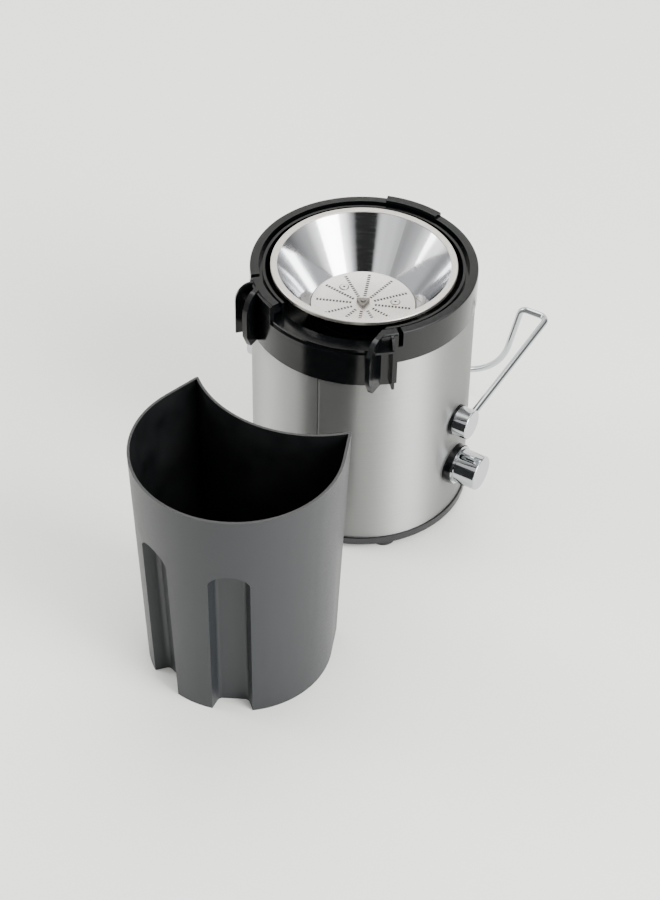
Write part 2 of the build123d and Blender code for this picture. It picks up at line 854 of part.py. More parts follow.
# chrome caps: the wire enters each from the side, the pin from the back
cap_pin_depth = 2.4
for side, cap_name in ((-1, "bail_cap_front"), (1, "bail_cap_rear")):
    with BuildPart() as bail_cap:
        add(lathe_y(cap_r, side * cap_back, side * cap_face, 0, pivot_z))
        fillet(bail_cap.edges().filter_by(GeomType.CIRCLE).group_by(Axis.Y)[0 if side < 0 else -1], 1.0)
        add(
            lathe_y(pivot_pin_r, side * (cap_back - 1), side * (cap_back + cap_pin_depth), 0, pivot_z),
            mode=Mode.SUBTRACT,
        )
        with BuildSketch(
            Plane(
                origin=bail_point(wire_start, side * bail_y, 0),
                z_dir=(math.cos(bail_tilt_rad), 0, math.sin(bail_tilt_rad)),
            )
        ):
            Circle(wire_r)
        extrude(amount=cap_r, mode=Mode.SUBTRACT)
    finish(bail_cap, cap_name)

pin_in = bush_in - 7.5
with BuildPart() as pivot_pins:
    for side in (-1, 1):
        add(lathe_y(pivot_pin_r, side * pin_in, side * (cap_back + cap_pin_depth), 0, pivot_z))
finish(pivot_pins, "pivot_pins")

clip_t = 0.8
clip_out = bush_in - part_line
with BuildPart() as pivot_clips:
    for side in (-1, 1):
        add(lathe_y(pivot_pin_r + 2.5, side * (clip_out - clip_t), side * clip_out, 0, pivot_z))
    add(lathe_y(pivot_pin_r, -body_r, body_r, 0, pivot_z), mode=Mode.SUBTRACT)
finish(pivot_clips, "pivot_clips")

# cam on the front pin and the microswitch that it presses when the bail is shut
cam_r = 7.0
cam_lobe = 10.5
cam_t = 4.0
cam_out = clip_out - clip_t - 0.5
with BuildPart() as interlock_cam:
    with BuildSketch(Plane.XZ.offset(cam_out - cam_t)):
        with Locations((0, pivot_z)):
            Circle(cam_r)
        with Locations((-(cam_lobe - cam_r), pivot_z)):
            Circle(cam_r)
        with Locations((0, pivot_z)):
            Circle(pivot_pin_r, mode=Mode.SUBTRACT)
    extrude(amount=cam_t)
finish(interlock_cam, "interlock_cam")

microswitch_top = pivot_z - cam_lobe - 0.8
with BuildPart() as interlock_switch:
    with BuildSketch(Plane.XZ.offset(control_plate_y)):
        with Locations((0, microswitch_top - 6.0)):
            Rectangle(20.0, 10.0)
        with Locations((-5.0, microswitch_top - 0.6)):
            Rectangle(3.0, 1.2)
    extrude(amount=8.0)
finish(interlock_switch, "interlock_switch")


# ==== juice collector ====
groove_floor = rim_top - groove_depth
web_t = wall
shelf_top = rim_top - shelf_drop
shoulder_z = rim_top - shoulder_drop
apron_bot = rim_top - apron_drop
apron_in_r = body_r + apron_gap
apron_out_r = apron_in_r + apron_t
chimney_out_r = chimney_in_r + wall
mouth_span = mouth_front_az - mouth_rear_az
side_span = 360 - 2 * skirt_end_az


def outer_fin(azimuth, reach):
    """A flat fin square to the apron, curved at its top outer corner."""
    foot_in_r = apron_in_r + 0.6
    with BuildPart() as fin:
        with BuildSketch(radial_plane(azimuth)):
            with BuildLine():
                crown = EllipticalCenterArc(
                    (apron_out_r, rim_top - fin_crown_h), reach, fin_crown_h, start_angle=0, arc_size=90
                )
                Polyline(
                    crown @ 1,
                    (foot_in_r, rim_top),
                    (foot_in_r, apron_bot),
                    (apron_out_r + reach, apron_bot),
                    crown @ 0,
                )
            make_face()
        extrude(amount=guide_t / 2, both=True)
    return fin.part


def inner_fin(y_mid):
    """A fin along the bin's way in that closes the pulp mouth's side, flush with the rim."""
    crown_reach = 15.5
    crown_x = guide_inner_reach - crown_reach
    with BuildPart() as fin:
        with BuildSketch(Plane(origin=(0, y_mid, 0), x_dir=(-1, 0, 0), z_dir=(0, 1, 0))):
            with BuildLine():
                crown = EllipticalCenterArc(
                    (crown_x, rim_top - fin_crown_h), crown_reach, fin_crown_h, start_angle=0, arc_size=90
                )
                Polyline(
                    crown @ 1,
                    (bowl_r / 2, rim_top),
                    (bowl_r / 2, apron_bot),
                    (guide_inner_reach - 6.0, apron_bot),
                    (guide_inner_reach, apron_bot + 13.0),
                    crown @ 0,
                )
            make_face()
        extrude(amount=guide_inner_t / 2, both=True)
        add(
            turned(
                [
                    (0, apron_bot - 1),
                    (apron_in_r + 0.6, apron_bot - 1),
                    (apron_in_r + 0.6, deck_top + 1.3),
                    (collar_r - wall + 0.2, deck_top + 1.3),
                    (collar_r - wall + 0.2, shelf_top - 1),
                    (rim_in_r, shelf_top - 1),
                    (rim_in_r, rim_top + 1),
                    (0, rim_top + 1),
                ]
            ),
            mode=Mode.SUBTRACT,
        )
    return fin.part


with BuildPart() as juice_collector:
    add(
        turned(
            [
                (chimney_in_r, bowl_floor_bot),
                (bowl_wall_out_r, bowl_floor_bot),
                (bowl_wall_out_r, groove_floor - web_t),
                (collar_r - wall, groove_floor - web_t),
                (collar_r - wall, deck_top + part_line),
                (collar_r, deck_top + part_line),
                (collar_r, rim_top - 1.2),
                (collar_r - 0.35, rim_top - 0.35),
                (collar_r - 1.2, rim_top),
                (rim_in_r, rim_top),
                (rim_in_r, groove_floor),
                (bowl_wall_out_r, groove_floor),
                (bowl_wall_out_r, rim_top - bowl_wall_drop),
                (bowl_r, rim_top - bowl_wall_drop),
                (bowl_r, bowl_floor_top),
                (chimney_out_r, bowl_floor_top),
                (chimney_out_r, bowl_floor_top + chimney_h),
                (chimney_in_r, bowl_floor_top + chimney_h),
            ]
        )
    )
    # shelf of the pulp mouth, then the wall above it cut away up to the front inner fin
    add(ring_sector(bowl_r, collar_r, shelf_top - wall, shelf_top, skirt_end_az, side_span))
    mouth_space = ring_sector(bowl_r - 1, collar_r + 5, shelf_top, rim_top + 5, mouth_rear_az, mouth_span)
    with Locations((0, guide_inner_t / 2 - guide_inner_y, 0)):
        front_side = Box(
            2 * collar_r, collar_r, 2 * rim_top, align=(Align.MAX, Align.MAX, Align.MIN), mode=Mode.PRIVATE
        )
    add(mouth_space - front_side, mode=Mode.SUBTRACT)
    # apron outside the sleeve: up to the shoulder in the mouth, to the rim behind the guides
    add(ring_sector(apron_in_r, apron_out_r, apron_bot, shoulder_z, skirt_end_az, side_span))
    for start, end in ((skirt_end_az, mouth_rear_az), (front_wall_az, 360 - skirt_end_az)):
        add(ring_sector(collar_r - 0.2, apron_out_r, shoulder_z, rim_top - 1.2, start, end - start))
    for azimuth, reach in ((guide_outer_az, guide_reach), (-guide_outer_az, guide_front_reach)):
        add(outer_fin(azimuth, reach))
    for y_mid in (guide_inner_y, -guide_inner_y):
        add(inner_fin(y_mid))
    for start in (guide_outer_az, -guide_roof_az):
        add(
            ring_sector(
                apron_out_r - 0.2,
                apron_out_r + 8.0,
                shelf_top + 3.0,
                shelf_top + 3.0 + guide_t,
                start,
                guide_roof_az - guide_outer_az,
            )
        )
    for azimuth in (tab_slot_az, -tab_slot_az):
        add(
            ring_sector(
                rim_in_r - 0.5,
                apron_out_r + 1,
                shelf_top + 1,
                rim_top + 1,
                azimuth - tab_slot_span / 2,
                tab_slot_span,
            ),
            mode=Mode.SUBTRACT,
        )
    # raised stretch of the rim over the spout
    add(
        ring_sector(
            rim_in_r + 0.5,
            collar_r + 0.5,
            rim_top - 1.2,
            rim_top + raised_rim_h,
            raised_rim_mid - raised_rim_half,
            2 * raised_rim_half,
        )
    )
    # spout: a closed channel out through the bowl wall, turned down at its end
    spout_end = body_r + spout_out
    outlet_x = spout_end - wall - outlet_half
    with BuildSketch(Plane.XY.offset(bowl_floor_bot)):
        with Locations(((bowl_r + spout_end) / 2, 0)):
            RectangleRounded(spout_end - bowl_r, spout_w, 5.0)
    extrude(amount=spout_h)
    with BuildSketch(Plane.XY.offset(bowl_floor_bot)):
        with Locations((outlet_x, 0)):
            Ellipse(outlet_half + wall, spout_w / 2 - 1.5)
    extrude(amount=-spout_nozzle)
    with BuildSketch(Plane.XY.offset(bowl_floor_top)):
        with Locations(((bowl_r + spout_end - wall) / 2 - 2.0, 0)):
            RectangleRounded(spout_end - wall - bowl_r + 4.0, spout_w - 2 * wall, 3.0)
    extrude(amount=spout_h - 2 * wall, mode=Mode.SUBTRACT)
    with BuildSketch(Plane.XY.offset(bowl_floor_top)):
        with Locations((outlet_x, 0)):
            Ellipse(outlet_half, spout_w / 2 - 1.5 - wall)
    extrude(amount=-spout_nozzle - wall, mode=Mode.SUBTRACT)
finish(juice_collector, "juice_collector")


# ==== filter ====
with BuildPart() as filter_rim:
    add(
        turned(
            [
                (filter_rim_r - filter_rim_w, filter_rim_z - 1.2),
                (filter_rim_r - 1.0, filter_rim_z - 1.2),
                (filter_rim_r - 1.0, filter_rim_z - 3.4),
                (filter_rim_r, filter_rim_z - 3.4),
                (filter_rim_r, filter_rim_z - 0.5),
                (filter_rim_r - 0.5, filter_rim_z),
                (filter_rim_r - filter_rim_w + 0.3, filter_rim_z),
                (filter_rim_r - filter_rim_w, filter_rim_z - 0.3),
            ]
        )
    )
finish(filter_rim, "filter_rim")

cone_t = 1.0
cone_top_r = filter_rim_r - filter_rim_w + 0.5
cone_low_r = disc_r + run_gap
with BuildPart() as filter_cone:
    add(
        turned(
            [
                (cone_low_r, disc_bot),
                (cone_low_r + cone_t, disc_bot),
                (cone_top_r + cone_t, filter_rim_z - 1.2),
                (cone_top_r, filter_rim_z - 1.2),
            ]
        )
    )
finish(filter_cone, "filter_cone")

with BuildPart() as grater_disc:
    with BuildSketch(Plane.XY.offset(disc_bot)):
        Circle(disc_r)
    extrude(amount=disc_t)
    tooth_pitch = (disc_r - 13.0) / teeth_per_row
    for row in range(grater_rows):
        with BuildSketch(Plane.XY.offset(disc_bot)):
            with Locations(Location((0, 0, 0), (0, 0, grater_row_az + row * 360 / grater_rows))):
                with Locations(*[(11.0 + n * tooth_pitch, 0) for n in range(teeth_per_row)]):
                    Rectangle(1.4, 2.7)
        extrude(amount=disc_t, mode=Mode.SUBTRACT)
finish(grater_disc, "grater_disc")

rivet_points = polar_points(rivet_pitch_r, [rivet_az, rivet_az + 120, rivet_az + 240])
with BuildPart() as disc_rivets:
    with BuildSketch(Plane.XY.offset(disc_top)):
        with Locations(*rivet_points):
            Circle(3.6)
    extrude(amount=0.7)
    chamfer(disc_rivets.edges().group_by(Axis.Z)[-1], 0.4)
    with BuildSketch(Plane.XY.offset(disc_top + 0.3)):
        with Locations(*rivet_points):
            Circle(0.9)
    extrude(amount=0.5, mode=Mode.SUBTRACT)
finish(disc_rivets, "disc_rivets")

spindle_top_r = 7.5
spindle_az = -151.0
with BuildPart() as filter_spindle:
    with BuildSketch(Plane.XY.offset(disc_top)):
        RegularPolygon(spindle_top_r, 3, rotation=spindle_az)
    extrude(amount=3.6)
    fillet(filter_spindle.edges().filter_by(Axis.Z), 1.2)
    with BuildSketch(Plane.XY.offset(disc_top + 3.6)):
        Circle(2.2)
    extrude(amount=1.4)
finish(filter_spindle, "filter_spindle")

hub_bot = disc_bot - hub_t
socket_bot = hub_bot - 17.0
with BuildPart() as filter_hub:
    add(
        turned(
            [
                (0, disc_bot),
                (0, socket_bot),
                (socket_boss_r, socket_bot),
                (socket_boss_r, hub_bot),
                (cone_low_r + cone_t - wall, hub_bot),
                (cone_low_r + cone_t - wall, hub_bot - hub_skirt_h),
                (cone_low_r + cone_t, hub_bot - hub_skirt_h),
                (cone_low_r + cone_t, disc_bot),
            ]
        )
    )
    with BuildSketch(Plane.XY.offset(socket_bot)):
        RegularPolygon(coupling_af / 2 + run_gap, 6, major_radius=False)
    extrude(amount=coupling_top + run_gap * 2 - socket_bot, mode=Mode.SUBTRACT)
finish(filter_hub, "filter_hub")


# ==== pulp bin ====
bin_back_x = -(bin_nest_r + bin_back_offset)
bin_floor_t = 2.6
bin_horn_round = 1.5
grip_turns = (180 - grip_az, 180 + grip_az)


def bin_outer_r(height):
    """Radius of the bin's drafted back at a height."""
    return bin_back_r - (bin_h - height) * math.tan(math.radians(bin_draft))


def bin_section(radius):
    """The bin's plan: a round back that runs out into straight flanks towards the body."""
    turn = math.radians(bin_flank_az)
    root_x = bin_back_x + radius * math.cos(turn)
    root_y = radius * math.sin(turn)
    end_x = root_x + bin_flank_reach * math.sin(turn)
    end_y = root_y - bin_flank_reach * math.cos(turn)
    with BuildSketch() as plan:
        with BuildLine():
            ThreePointArc((root_x, root_y), (bin_back_x - radius, 0), (root_x, -root_y))
            Polyline((root_x, -root_y), (end_x, -end_y), (end_x, end_y), (root_x, root_y))
        make_face()
    return plan.sketch


def bin_block(inset, z_low, z_high):
    """The bin's outer form, or its inner form at a wall's inset, between two heights."""
    with BuildPart() as block:
        for height in (z_low, z_high):
            with BuildSketch(Plane.XY.offset(height)):
                add(bin_section(bin_outer_r(height) - inset))
        loft()
        with BuildSketch(Plane.XY.offset(z_low - 1)):
            Circle(bin_nest_r + inset)
        extrude(amount=z_high - z_low + 2, mode=Mode.SUBTRACT)
    return block.part


def bin_grip(turn, grow):
    """A finger recess up the bin's back, open below, arched at the top, grown by a wall."""
    out_x = math.cos(math.radians(turn))
    out_y = math.sin(math.radians(turn))
    mouth_half = grip_half_w + grow
    floor_half = grip_floor_half + grow
    with BuildPart() as grip:
        for height in (-1.0, grip_top + grow):
            mouth_r = bin_outer_r(height) + 1.0
            floor_r = bin_outer_r(height) - grip_depth - grow
            section = Plane(origin=(bin_back_x, 0, height), x_dir=(out_x, out_y, 0), z_dir=(0, 0, 1))
            with BuildSketch(section):
                with BuildLine():
                    FilletPolyline(
                        (mouth_r, mouth_half),
                        (floor_r, floor_half),
                        (floor_r, -floor_half),
                        (mouth_r, -mouth_half),
                        radius=grip_corner_r,
                    )
                    Line((mouth_r, -mouth_half), (mouth_r, mouth_half))
                make_face()
        loft()
        upright = Plane(origin=(bin_back_x, 0, 0), x_dir=(-out_y, out_x, 0), z_dir=(out_x, out_y, 0))
        with BuildSketch(upright):
            with BuildLine():
                arch = EllipticalCenterArc(
                    (0, grip_top + grow - grip_arch), mouth_half, grip_arch, start_angle=0, arc_size=180
                )
                Polyline(arch @ 1, (-mouth_half, -2), (mouth_half, -2), arch @ 0)
            make_face()
        extrude(amount=2 * bin_back_r, mode=Mode.INTERSECT)
    return grip.part


bin_home = Location((bin_park_x, bin_park_y, 0), (0, 0, bin_park_turn))
with BuildPart() as bin_form:
    add(bin_block(0, 0, bin_h))
    tall_edges = bin_form.edges().filter_by(lambda edge: edge.bounding_box().size.Z > bin_h - 1)
    fillet(tall_edges.sort_by(lambda edge: edge.center().X)[-2:], bin_horn_round)
    for turn in grip_turns:
        add(bin_grip(turn, 0), mode=Mode.SUBTRACT)
with BuildPart() as bin_hollow:
    add(bin_block(bin_wall, bin_floor_t, bin_h + 1))
    for turn in grip_turns:
        add(bin_grip(turn, bin_wall), mode=Mode.SUBTRACT)
with BuildPart() as pulp_bin:
    add(bin_home * (bin_form.part - bin_hollow.part))
finish(pulp_bin, "pulp_bin")
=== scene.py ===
import math

import bmesh
import bpy
from mathutils import Matrix, Vector


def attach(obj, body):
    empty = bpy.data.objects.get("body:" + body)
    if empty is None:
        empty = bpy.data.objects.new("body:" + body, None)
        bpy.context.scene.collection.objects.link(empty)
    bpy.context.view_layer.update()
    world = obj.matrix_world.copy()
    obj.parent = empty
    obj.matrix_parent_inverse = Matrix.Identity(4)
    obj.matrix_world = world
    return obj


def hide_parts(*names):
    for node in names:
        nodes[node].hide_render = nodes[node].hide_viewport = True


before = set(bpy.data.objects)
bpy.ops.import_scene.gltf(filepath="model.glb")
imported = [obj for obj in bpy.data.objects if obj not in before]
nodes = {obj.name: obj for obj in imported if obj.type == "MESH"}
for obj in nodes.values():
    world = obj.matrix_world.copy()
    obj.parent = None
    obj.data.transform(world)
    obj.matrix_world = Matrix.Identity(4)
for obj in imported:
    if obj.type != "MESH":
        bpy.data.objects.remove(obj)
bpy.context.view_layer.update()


# ---- studio ----
# A table-top still life: the camera stands high on the pulp side and looks down over the bin
# to the open filter. The table runs up into its own backdrop and the light is soft all round.
def from_polar(radius, azimuth, height):
    """A point at a radius and azimuth in degrees about the body's axis."""
    turn = math.radians(azimuth)
    return Vector((radius * math.cos(turn), radius * math.sin(turn), height))


view_point = Vector((-0.1001, -0.0278, 0.120))
view_distance = 1.9
view_azimuth = -150.0
view_height = 42.27
view_roll = 0.98
camera_data = bpy.data.cameras.new("camera")
camera_data.lens = 90.54
camera_data.sensor_width = 36.0
camera_data.clip_end = 30.0
camera = bpy.data.objects.new("camera", camera_data)
bpy.context.scene.collection.objects.link(camera)
level = math.radians(view_height)
camera.location = view_point + view_distance * from_polar(math.cos(level), view_azimuth, math.sin(level))
aim = (view_point - camera.location).to_track_quat("-Z", "Y")
camera.rotation_euler = (aim.to_matrix() @ Matrix.Rotation(math.radians(view_roll), 3, "Z")).to_euler()
bpy.context.scene.camera = camera


def srgb(code):
    """An sRGB hex colour as linear RGBA."""
    channels = [int(code[i : i + 2], 16) / 255 for i in (1, 3, 5)]
    return tuple(c / 12.92 if c <= 0.04045 else ((c + 0.055) / 1.055) ** 2.4 for c in channels) + (1.0,)


def shade(tree, kind, links=None, **settings):
    """Adds one shader node: settings are its attributes, links its input values or sockets."""
    node = tree.nodes.new(kind)
    for name, value in settings.items():
        setattr(node, name, value)
    for key, value in (links or {}).items():
        if isinstance(value, bpy.types.NodeSocket):
            tree.links.new(value, node.inputs[key])
        else:
            node.inputs[key].default_value = value
    return node


def set_stops(ramp, stops):
    """Gives a colour ramp its stops: (position, linear colour)."""
    band = ramp.color_ramp
    while len(band.elements) > 1:
        band.elements.remove(band.elements[-1])
    band.elements[0].position = stops[0][0]
    band.elements[0].color = stops[0][1]
    for place, colour in stops[1:]:
        band.elements.new(place).color = colour
    return ramp


def surface(name, base, metallic=0.0, roughness=0.5, **sockets):
    """A new material with one Principled shader. Returns it with its tree and that shader."""
    material = bpy.data.materials.new(name)
    material.use_nodes = True
    tree = material.node_tree
    shader = tree.nodes["Principled BSDF"]
    shader.inputs["Base Color"].default_value = srgb(base)
    shader.inputs["Metallic"].default_value = metallic
    shader.inputs["Roughness"].default_value = roughness
    for key, value in sockets.items():
        shader.inputs[key.replace("_", " ")].default_value = value
    return material, tree, shader


MM = 0.001


def object_noise(tree, size_mm, detail=2.0, stretch=(1.0, 1.0, 1.0)):
    """Noise in the piece's own space, one cell about size_mm across."""
    place = shade(tree, "ShaderNodeTexCoord")
    scaled = shade(
        tree,
        "ShaderNodeMapping",
        {"Vector": place.outputs["Object"], "Scale": [s / (size_mm * MM) for s in stretch]},
    )
    return shade(
        tree, "ShaderNodeTexNoise", {"Vector": scaled.outputs["Vector"], "Scale": 1.0, "Detail": detail}
    )


def tint(tree, noise, dark, light, start=0.3, end=0.7):
    """Maps a noise's strength to a colour between two hex colours."""
    ramp = shade(tree, "ShaderNodeValToRGB", {"Fac": noise.outputs[0]})
    return set_stops(ramp, [(start, srgb(dark)), (end, srgb(light))]).outputs["Color"]


def placed(form, name, *materials):
    """Turns a bmesh into an object of the scene with these materials."""
    data = bpy.data.meshes.new(name)
    form.to_mesh(data)
    form.free()
    for material in materials:
        data.materials.append(material)
    piece = bpy.data.objects.new(name, data)
    bpy.context.scene.collection.objects.link(piece)
    return piece


def join_rows(form, rows):
    """Faces between each row of vertices and the next. Returns them."""
    return [
        form.faces.new((first[i], second[i], second[i + 1], first[i + 1]))
        for first, second in zip(rows, rows[1:])
        for i in range(len(first) - 1)
    ]


# table: pale matt laminate, faintly mottled, swept up behind into its own backdrop
table_paint, tree, shader = surface("pale_matt_laminate", "#f1f1ed", roughness=0.6)
cloud = object_noise(tree, 900.0)
tree.links.new(tint(tree, cloud, "#eeefea", "#f5f5f0"), shader.inputs["Base Color"])
sheet = bmesh.new()
table_half = 3.0
sweep_r = 1.2
backdrop_top = 3.0
sweep_start = table_half - sweep_r
sweep = [math.radians(angle) for angle in range(0, 91, 6)]
profile = [(-table_half, 0.0)]
profile += [(sweep_start + sweep_r * math.sin(a), sweep_r - sweep_r * math.cos(a)) for a in sweep]
profile.append((table_half, backdrop_top))
away = Matrix.Rotation(math.radians(view_azimuth + 180), 3, "Z")
strips = [
    [sheet.verts.new(away @ Vector((along, side, up))) for side in (-table_half, table_half)]
    for along, up in profile
]
join_rows(sheet, strips)
table = placed(sheet, "table", table_paint)
table.data.shade_smooth()


body_middle = Vector((0.0, 0.0, 0.12))


def softbox(name, azimuth, height, distance, width, tall, watts):
    """A rectangular area light that faces the middle of the body."""
    data = bpy.data.lights.new(name, "AREA")
    data.shape = "RECTANGLE"
    data.size = width
    data.size_y = tall
    data.energy = watts
    lamp = bpy.data.objects.new(name, data)
    lamp.location = from_polar(distance, azimuth, height)
    lamp.rotation_euler = (body_middle - lamp.location).to_track_quat("-Z", "Y").to_euler()
    bpy.context.scene.collection.objects.link(lamp)


softbox("key_softbox", -100, 1.3, 1.9, 1.0, 1.6, 60)
softbox("fill_softbox", 110, 1.4, 2.2, 0.8, 1.4, 26)
softbox("top_softbox", 20, 2.6, 0.9, 1.8, 1.8, 46)

# the room's brightness by compass direction: bright screens with a dark gap behind the camera
world = bpy.data.worlds.new("studio")
world.use_nodes = True
bpy.context.scene.world = world
tree = world.node_tree
direction = shade(tree, "ShaderNodeTexCoord").outputs["Generated"]
parts = shade(tree, "ShaderNodeSeparateXYZ", {"Vector": direction})
heading = shade(
    tree, "ShaderNodeMath", {0: parts.outputs["Y"], 1: parts.outputs["X"]}, operation="ARCTAN2"
)
turn = shade(
    tree,
    "ShaderNodeMapRange",
    {"Value": heading.outputs[0], "From Min": -math.pi, "From Max": math.pi, "To Min": 0.0, "To Max": 1.0},
)


def at_heading(degrees):
    """Where a compass direction falls on the ramp."""
    return (degrees + 180.0) / 360.0


def grey(level):
    """A linear grey."""
    return (level, level, level, 1.0)


screens = set_stops(
    shade(tree, "ShaderNodeValToRGB", {"Fac": turn.outputs["Result"]}),
    [
        (at_heading(-180), grey(1.3)),
        (at_heading(-172), grey(1.3)),
        (at_heading(-166), grey(0.03)),
        (at_heading(-138), grey(0.03)),
        (at_heading(-130), grey(0.9)),
        (at_heading(-117), grey(5.0)),
        (at_heading(-97), grey(6.5)),
        (at_heading(-84), grey(2.6)),
        (at_heading(-70), grey(0.8)),
        (at_heading(-45), grey(0.22)),
        (at_heading(-32), grey(0.18)),
        (at_heading(-10), grey(0.5)),
        (at_heading(60), grey(0.45)),
        (at_heading(84), grey(0.6)),
        (at_heading(100), grey(2.6)),
        (at_heading(118), grey(2.2)),
        (at_heading(135), grey(0.8)),
        (at_heading(150), grey(0.5)),
        (at_heading(168), grey(1.2)),
    ],
)
lift = shade(
    tree,
    "ShaderNodeMapRange",
    {"Value": parts.outputs["Z"], "From Min": 0.55, "From Max": 0.85, "To Min": 0.0, "To Max": 1.0},
)
overhead = shade(
    tree,
    "ShaderNodeMix",
    {"Factor": lift.outputs["Result"], "A": screens.outputs["Color"], "B": grey(1.15)},
    data_type="RGBA",
)
tree.links.new(overhead.outputs["Result"], tree.nodes["Background"].inputs["Color"])
tree.nodes["Background"].inputs["Strength"].default_value = 1.1


def vary(tree, noise, low, high, start=0.3, end=0.7):
    """Maps a noise's strength to a number between low and high."""
    return shade(
        tree,
        "ShaderNodeMapRange",
        {"Value": noise.outputs[0], "From Min": start, "From Max": end, "To Min": low, "To Max": high},
    ).outputs["Result"]


def roughen(tree, shader, height, strength, depth_mm):
    """Raises the surface by a height map, depth_mm from low to high."""
    bump = shade(
        tree, "ShaderNodeBump", {"Height": height, "Strength": strength, "Distance": depth_mm * MM}
    )
    tree.links.new(bump.outputs["Normal"], shader.inputs["Normal"])


def coat(material, *names):
    """Gives CAD nodes a material."""
    for name in names:
        slots = nodes[name].data.materials
        slots.clear()
        slots.append(material)


rubber, tree, shader = surface("moulded_nitrile_rubber", "#1a1a1b", roughness=0.75)
grain = object_noise(tree, 0.8, detail=4.0)
tree.links.new(tint(tree, grain, "#151516", "#232324"), shader.inputs["Base Color"])
tree.links.new(vary(tree, grain, 0.68, 0.85), shader.inputs["Roughness"])
roughen(tree, shader, grain.outputs[0], 0.5, 0.05)
coat(rubber, "feet", "cable_gland", "shaft_seal", "mount_grommets")


# ---- base ring ----
# One polypropylene moulding: a low black ring outside, with a spigot up inside the sleeve.
# The tool's fine texture leaves it satin and faintly uneven in tone. The small dark pieces
# inside the body share its finish.
base_plastic, tree, shader = surface("satin_polypropylene", "#121315", roughness=0.42)
grain = object_noise(tree, 0.9, detail=3.0)
tree.links.new(tint(tree, grain, "#101113", "#17181a"), shader.inputs["Base Color"])
tree.links.new(vary(tree, grain, 0.36, 0.5), shader.inputs["Roughness"])
roughen(tree, shader, grain.outputs[0], 0.35, 0.04)
coat(base_plastic, "base_plate", "control_bracket", "speed_switch", "cooling_fan", "suppressor_capacitor")
coat(base_plastic, "interlock_switch", "filter_hub", "interlock_cam", "carbon_brushes", "drive_coupling")


# ---- steel sleeve ----
# 0.8 mm stainless sheet, rolled to a tube with its joint behind the pulp bin. It was brushed
# round the body, so its light stands in upright bands and level scratches cross them. The
# scratches are drawn several times coarser than real ones, or none would show.
sleeve_r = nodes["body_shell"].dimensions.x / 2
scratch_mm = 0.35
streak_mm = 90.0


def brushed_round(tree, radius, scratch, streak):
    """Noise drawn out round the Z axis: scratch mm high, streak mm long at the radius."""
    place = shade(tree, "ShaderNodeTexCoord").outputs["Object"]
    axes = shade(tree, "ShaderNodeSeparateXYZ", {"Vector": place})
    sides = {0: axes.outputs["Y"], 1: axes.outputs["X"]}
    angle = shade(tree, "ShaderNodeMath", sides, operation="ARCTAN2").outputs[0]
    along = shade(tree, "ShaderNodeMath", {0: angle, 1: radius / (streak * MM)}, operation="MULTIPLY")
    height = axes.outputs["Z"]
    across = shade(tree, "ShaderNodeMath", {0: height, 1: 1 / (scratch * MM)}, operation="MULTIPLY")
    flat = shade(tree, "ShaderNodeCombineXYZ", {"X": along.outputs[0], "Z": across.outputs[0]})
    return shade(tree, "ShaderNodeTexNoise", {"Vector": flat.outputs[0], "Scale": 1.0, "Detail": 3.0})


sleeve_steel, tree, shader = surface("brushed_stainless_steel", "#979796", metallic=1.0, roughness=0.48)
shader.inputs["Anisotropic"].default_value = 0.9
tangent = shade(tree, "ShaderNodeTangent", direction_type="RADIAL", axis="Z")
tree.links.new(tangent.outputs[0], shader.inputs["Tangent"])
shader.inputs["Anisotropic Rotation"].default_value = 0.25
lines = brushed_round(tree, sleeve_r, scratch_mm, streak_mm)
tree.links.new(tint(tree, lines, "#939392", "#9b9b9a"), shader.inputs["Base Color"])
tree.links.new(vary(tree, lines, 0.46, 0.5), shader.inputs["Roughness"])
roughen(tree, shader, lines.outputs[0], 0.06, 0.01)
coat(sleeve_steel, "body_shell")

# the lap of the joint: a narrow raised edge, with a dark line of painted shadow beside it
seam_shadow_paint, tree, shader = surface("painted_seam_shadow", "#101112", roughness=0.4)
seam_shadow_mottle = object_noise(tree, 2.0)
tree.links.new(tint(tree, seam_shadow_mottle, "#0c0d0e", "#1b1c1d"), shader.inputs["Base Color"])
seam_az = math.radians(-172.7)
seam_low = 12.6 * MM
seam_high = 208.6 * MM
seam_root = -0.2 * MM
seam_ease = 0.15 * MM
seam = bmesh.new()
# the first strip is the raised steel edge, the second the painted shadow beside it
for start_mm, width_mm, rise_mm, material_index in ((0.0, 1.1, 0.22, 0), (-1.0, 0.9, 0.06, 1)):
    rise = rise_mm * MM
    width = width_mm * MM
    section = ((0.0, seam_root), (seam_ease, rise), (width - seam_ease, rise), (width, seam_root))
    uprights = []
    for side, lift in section:
        turn = math.degrees(seam_az + (start_mm * MM + side) / sleeve_r)
        ends = [from_polar(sleeve_r + lift, turn, z) for z in (seam_low, seam_high)]
        uprights.append([seam.verts.new(end) for end in ends])
    for face in join_rows(seam, uprights):
        face.material_index = material_index
seam_piece = placed(seam, "sleeve_seam", sleeve_steel, seam_shadow_paint)
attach(seam_piece, "housing")


# ---- motor and its metal ----
# Hidden under the deck: pressed and turned steel, cast brackets, laminations and copper.
# They show only when the sleeve is off, and keep plain workshop finishes.
# turned steel: bright, with fine level tool marks
turned_steel, tree, shader = surface("turned_steel", "#a9a9a8", metallic=1.0, roughness=0.35)
marks = object_noise(tree, 1.0, stretch=(1.0, 1.0, 6.0))
tree.links.new(vary(tree, marks, 0.28, 0.45), shader.inputs["Roughness"])
coat(turned_steel, "motor_shaft", "bearing_upper", "bearing_lower", "base_screws", "stator_screws")
coat(turned_steel, "mount_screws", "bracket_screws", "switch_nut", "switch_spindle")
coat(turned_steel, "pivot_pins", "pivot_clips")

# cast aluminium: the pale, slightly rough skin of a die casting
cast_aluminium, tree, shader = surface("cast_aluminium", "#b4b5b6", metallic=1.0, roughness=0.55)
skin = object_noise(tree, 1.5, detail=4.0)
tree.links.new(vary(tree, skin, 0.48, 0.66), shader.inputs["Roughness"])
roughen(tree, shader, skin.outputs[0], 0.4, 0.08)
coat(cast_aluminium, "motor_upper_bracket", "motor_lower_bracket")

